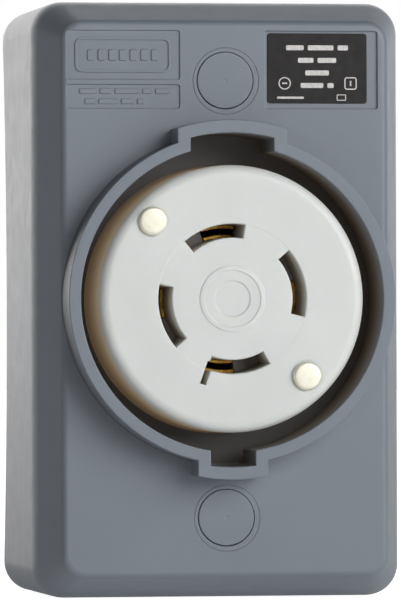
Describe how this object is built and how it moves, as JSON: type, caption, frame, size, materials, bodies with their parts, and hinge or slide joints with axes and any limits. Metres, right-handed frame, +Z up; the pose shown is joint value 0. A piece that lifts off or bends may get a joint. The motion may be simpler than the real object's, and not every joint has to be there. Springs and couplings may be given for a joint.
{
  "type": "shrouded locking power receptacle",
  "caption": "Slate grey deep wall housing with a raised keyed shroud ring around a round white locking receptacle face, for a generator supply cord.",
  "frame": {"origin": "centre of the housing's rear rim plane, which lies on the wall or outlet box", "axes": "-Y out of the front towards the user, +Y into the wall, +Z up along the housing's long side, +X to the right seen from the front"},
  "size_m": [0.0712, 0.0725, 0.1142],
  "materials": {
    "grey_plastic": "slate grey moulded plastic, satin",
    "white_nylon": "white nylon, slightly translucent, satin",
    "black_nylon": "black glass-filled nylon, matt",
    "zinc_steel": "zinc plated steel",
    "nickel_plate": "dull nickel plate on steel",
    "brass": "bare brass, lightly tarnished",
    "green_steel": "green passivated steel",
    "red_fibre": "vulcanised fibre",
    "black_label": "black printed label film"
  },
  "bodies": {
    "housing_assembly": {"housing": "grey_plastic", "receptacle_face": "white_nylon", "back_body": "black_nylon", "mounting_bridge": "zinc_steel", "bridge_screws": "zinc_steel", "assembly_rivets": "nickel_plate", "contact_x": "brass", "contact_y": "brass", "contact_z": "brass", "contact_ground": "brass", "ground_strap": "brass", "rating_label": "black_label"},
    "screw_cap_upper": {"screw_cap_upper": "grey_plastic"},
    "retaining_washer_upper": {"retaining_washer_upper": "red_fibre"},
    "mounting_screw_upper": {"mounting_screw_upper": "zinc_steel"},
    "screw_cap_lower": {"screw_cap_lower": "grey_plastic"},
    "retaining_washer_lower": {"retaining_washer_lower": "red_fibre"},
    "mounting_screw_lower": {"mounting_screw_lower": "zinc_steel"},
    "wire_clamp_x": {"wire_clamp_x": "nickel_plate"},
    "terminal_screw_x": {"terminal_screw_x": "brass"},
    "wire_clamp_y": {"wire_clamp_y": "nickel_plate"},
    "terminal_screw_y": {"terminal_screw_y": "brass"},
    "wire_clamp_z": {"wire_clamp_z": "nickel_plate"},
    "terminal_screw_z": {"terminal_screw_z": "brass"},
    "wire_clamp_ground": {"wire_clamp_ground": "nickel_plate"},
    "terminal_screw_ground": {"terminal_screw_ground": "green_steel"}
  },
  "joints": [
    {"name": "screw_cap_pull_upper", "type": "slide", "parent": "housing_assembly", "child": "screw_cap_upper", "axis": [0, -1, 0], "range_m": [0, 0.012]},
    {"name": "mounting_screw_travel_upper", "type": "slide", "parent": "housing_assembly", "child": "retaining_washer_upper", "axis": [0, -1, 0], "range_m": [0, 0.00635]},
    {"name": "mounting_screw_turn_upper", "type": "hinge", "parent": "retaining_washer_upper", "child": "mounting_screw_upper", "pos_m": [0, 0, 0.04167], "axis": [0, -1, 0], "range_deg": [0, 2880]},
    {"name": "screw_cap_pull_lower", "type": "slide", "parent": "housing_assembly", "child": "screw_cap_lower", "axis": [0, -1, 0], "range_m": [0, 0.012]},
    {"name": "mounting_screw_travel_lower", "type": "slide", "parent": "housing_assembly", "child": "retaining_washer_lower", "axis": [0, -1, 0], "range_m": [0, 0.00635]},
    {"name": "mounting_screw_turn_lower", "type": "hinge", "parent": "retaining_washer_lower", "child": "mounting_screw_lower", "pos_m": [0, 0, -0.04167], "axis": [0, -1, 0], "range_deg": [0, 2880]},
    {"name": "wire_clamp_travel_x", "type": "slide", "parent": "housing_assembly", "child": "wire_clamp_x", "axis": [0, 0, -1], "range_m": [0, 0.00238]},
    {"name": "terminal_screw_turn_x", "type": "hinge", "parent": "wire_clamp_x", "child": "terminal_screw_x", "pos_m": [0, -0.022, 0.0222], "axis": [0, 0, -1], "range_deg": [0, 1080]},
    {"name": "wire_clamp_travel_y", "type": "slide", "parent": "housing_assembly", "child": "wire_clamp_y", "axis": [1, 0, 0], "range_m": [0, 0.00238]},
    {"name": "terminal_screw_turn_y", "type": "hinge", "parent": "wire_clamp_y", "child": "terminal_screw_y", "pos_m": [-0.0222, -0.022, 0], "axis": [1, 0, 0], "range_deg": [0, 1080]},
    {"name": "wire_clamp_travel_z", "type": "slide", "parent": "housing_assembly", "child": "wire_clamp_z", "axis": [-1, 0, 0], "range_m": [0, 0.00238]},
    {"name": "terminal_screw_turn_z", "type": "hinge", "parent": "wire_clamp_z", "child": "terminal_screw_z", "pos_m": [0.0222, -0.022, 0], "axis": [-1, 0, 0], "range_deg": [0, 1080]},
    {"name": "wire_clamp_travel_ground", "type": "slide", "parent": "housing_assembly", "child": "wire_clamp_ground", "axis": [0, 0, 1], "range_m": [0, 0.00238]},
    {"name": "terminal_screw_turn_ground", "type": "hinge", "parent": "wire_clamp_ground", "child": "terminal_screw_ground", "pos_m": [0, -0.022, -0.0222], "axis": [0, 0, 1], "range_deg": [0, 1080]}
  ],
  "couplings": [
    {"joint": "mounting_screw_turn_upper", "follows": "mounting_screw_travel_upper", "rad_per_m": 7915.8},
    {"joint": "mounting_screw_turn_lower", "follows": "mounting_screw_travel_lower", "rad_per_m": 7915.8},
    {"joint": "terminal_screw_turn_x", "follows": "wire_clamp_travel_x", "rad_per_m": 7915.8},
    {"joint": "terminal_screw_turn_y", "follows": "wire_clamp_travel_y", "rad_per_m": 7915.8},
    {"joint": "terminal_screw_turn_z", "follows": "wire_clamp_travel_z", "rad_per_m": 7915.8},
    {"joint": "terminal_screw_turn_ground", "follows": "wire_clamp_travel_ground", "rad_per_m": 7915.8}
  ]
}
